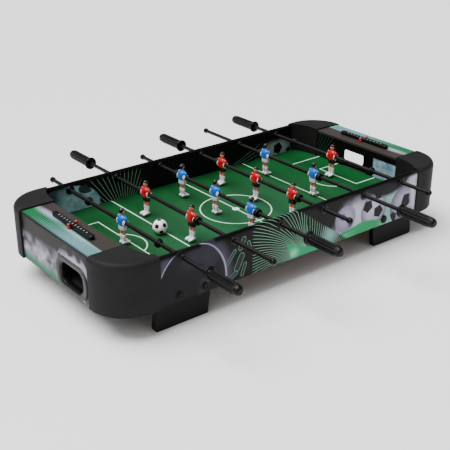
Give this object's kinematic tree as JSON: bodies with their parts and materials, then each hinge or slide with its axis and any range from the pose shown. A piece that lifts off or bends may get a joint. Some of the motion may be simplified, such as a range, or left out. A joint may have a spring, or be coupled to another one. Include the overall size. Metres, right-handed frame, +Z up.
{
  "type": "foosball table",
  "caption": "Tabletop foosball table: a boxed pitch on low legs, player rods that slide and spin, goals with ball returns, and sliding score counters.",
  "frame": {"origin": "on the floor, under the middle of the table", "axes": "+X along the table towards the red goal end, +Y across it from the blue players' side to the red players' side, +Z up"},
  "size_m": [0.8374, 0.748, 0.159],
  "materials": {
    "side_print": "fibreboard wrapped in satin printed foil, dark grey with pale and green artwork",
    "end_print": "fibreboard wrapped in satin printed foil",
    "board_print": "fibreboard with a satin printed top, pale lines over grey-brown",
    "goal_print": "thin board with a dark printed face",
    "tray_board": "black-faced fibreboard",
    "pitch_print": "satin printed green pitch with white lines",
    "cap_plastic": "moulded dark warm-grey ABS with a fine texture",
    "bezel_plastic": "moulded grey ABS",
    "score_plastic": "moulded black plastic",
    "marker_plastic": "moulded red plastic",
    "leg_board": "black-laminated fibreboard",
    "rod_steel": "black powder-coated steel tube",
    "handle_plastic": "moulded black plastic",
    "bumper_rubber": "black rubber",
    "player_blue": "painted plastic, blue shirt",
    "player_red": "painted plastic, red shirt",
    "ball_plastic": "white plastic with printed black patches"
  },
  "bodies": {
    "table": {"side_panel_near": "side_print", "side_panel_far": "side_print", "end_panel_left": "end_print", "end_top_board_left": "board_print", "goal_wall_left": "goal_print", "ball_tray_left": "tray_board", "ball_return_bezel_left": "bezel_plastic", "score_bar_left": "score_plastic", "end_panel_right": "end_print", "end_top_board_right": "board_print", "goal_wall_right": "goal_print", "ball_tray_right": "tray_board", "ball_return_bezel_right": "bezel_plastic", "score_bar_right": "score_plastic", "playfield": "pitch_print", "corner_cap_near_left": "cap_plastic", "leg_near_left": "leg_board", "corner_cap_near_right": "cap_plastic", "leg_near_right": "leg_board", "corner_cap_far_left": "cap_plastic", "leg_far_left": "leg_board", "corner_cap_far_right": "cap_plastic", "leg_far_right": "leg_board"},
    "rod_1_slider": {"bumper_1": "bumper_rubber"},
    "rod_1": {"rod_1": "rod_steel", "handle_1": "handle_plastic", "player_1_1": "player_blue"},
    "rod_2_slider": {"bumper_2": "bumper_rubber"},
    "rod_2": {"rod_2": "rod_steel", "handle_2": "handle_plastic", "player_2_1": "player_red", "player_2_2": "player_red"},
    "rod_3_slider": {"bumper_3": "bumper_rubber"},
    "rod_3": {"rod_3": "rod_steel", "handle_3": "handle_plastic", "player_3_1": "player_blue", "player_3_2": "player_blue", "player_3_3": "player_blue"},
    "rod_4_slider": {"bumper_4": "bumper_rubber"},
    "rod_4": {"rod_4": "rod_steel", "handle_4": "handle_plastic", "player_4_1": "player_red", "player_4_2": "player_red", "player_4_3": "player_red"},
    "rod_5_slider": {"bumper_5": "bumper_rubber"},
    "rod_5": {"rod_5": "rod_steel", "handle_5": "handle_plastic", "player_5_1": "player_blue", "player_5_2": "player_blue"},
    "rod_6_slider": {"bumper_6": "bumper_rubber"},
    "rod_6": {"rod_6": "rod_steel", "handle_6": "handle_plastic", "player_6_1": "player_red"},
    "score_marker_left_outer": {"score_marker_left_outer": "marker_plastic"},
    "score_marker_left_inner": {"score_marker_left_inner": "marker_plastic"},
    "score_marker_right_outer": {"score_marker_right_outer": "marker_plastic"},
    "score_marker_right_inner": {"score_marker_right_inner": "marker_plastic"},
    "ball": {"ball": "ball_plastic"}
  },
  "joints": [
    {"name": "rod_1_slide", "type": "slide", "parent": "table", "child": "rod_1_slider", "axis": [0, 1, 0], "range_m": [-0.0536, 0.0661]},
    {"name": "rod_1_spin", "type": "hinge", "parent": "rod_1_slider", "child": "rod_1", "pos_m": [-0.275, 0, 0.132], "axis": [0, 1, 0], "continuous": true},
    {"name": "rod_2_slide", "type": "slide", "parent": "table", "child": "rod_2_slider", "axis": [0, 1, 0], "range_m": [-0.0883, 0.0823]},
    {"name": "rod_2_spin", "type": "hinge", "parent": "rod_2_slider", "child": "rod_2", "pos_m": [-0.165, 0, 0.132], "axis": [0, 1, 0], "continuous": true},
    {"name": "rod_3_slide", "type": "slide", "parent": "table", "child": "rod_3_slider", "axis": [0, 1, 0], "range_m": [-0.0468, 0.0528]},
    {"name": "rod_3_spin", "type": "hinge", "parent": "rod_3_slider", "child": "rod_3", "pos_m": [-0.055, 0, 0.132], "axis": [0, 1, 0], "continuous": true},
    {"name": "rod_4_slide", "type": "slide", "parent": "table", "child": "rod_4_slider", "axis": [0, 1, 0], "range_m": [-0.0518, 0.0478]},
    {"name": "rod_4_spin", "type": "hinge", "parent": "rod_4_slider", "child": "rod_4", "pos_m": [0.055, 0, 0.132], "axis": [0, 1, 0], "continuous": true},
    {"name": "rod_5_slide", "type": "slide", "parent": "table", "child": "rod_5_slider", "axis": [0, 1, 0], "range_m": [-0.1073, 0.0633]},
    {"name": "rod_5_spin", "type": "hinge", "parent": "rod_5_slider", "child": "rod_5", "pos_m": [0.165, 0, 0.132], "axis": [0, 1, 0], "continuous": true},
    {"name": "rod_6_slide", "type": "slide", "parent": "table", "child": "rod_6_slider", "axis": [0, 1, 0], "range_m": [-0.0621, 0.0581]},
    {"name": "rod_6_spin", "type": "hinge", "parent": "rod_6_slider", "child": "rod_6", "pos_m": [0.275, 0, 0.132], "axis": [0, 1, 0], "continuous": true},
    {"name": "score_marker_left_outer_slide", "type": "slide", "parent": "table", "child": "score_marker_left_outer", "axis": [0, 1, 0], "range_m": [-0.057, 0.059]},
    {"name": "score_marker_left_inner_slide", "type": "slide", "parent": "table", "child": "score_marker_left_inner", "axis": [0, 1, 0], "range_m": [-0.061, 0.055]},
    {"name": "score_marker_right_outer_slide", "type": "slide", "parent": "table", "child": "score_marker_right_outer", "axis": [0, 1, 0], "range_m": [-0.057, 0.059]},
    {"name": "score_marker_right_inner_slide", "type": "slide", "parent": "table", "child": "score_marker_right_inner", "axis": [0, 1, 0], "range_m": [-0.061, 0.055]},
    {"name": "ball_roll", "type": "slide", "parent": "table", "child": "ball", "axis": [0, 1, 0], "range_m": [-0.1635, 0.1805]}
  ]
}
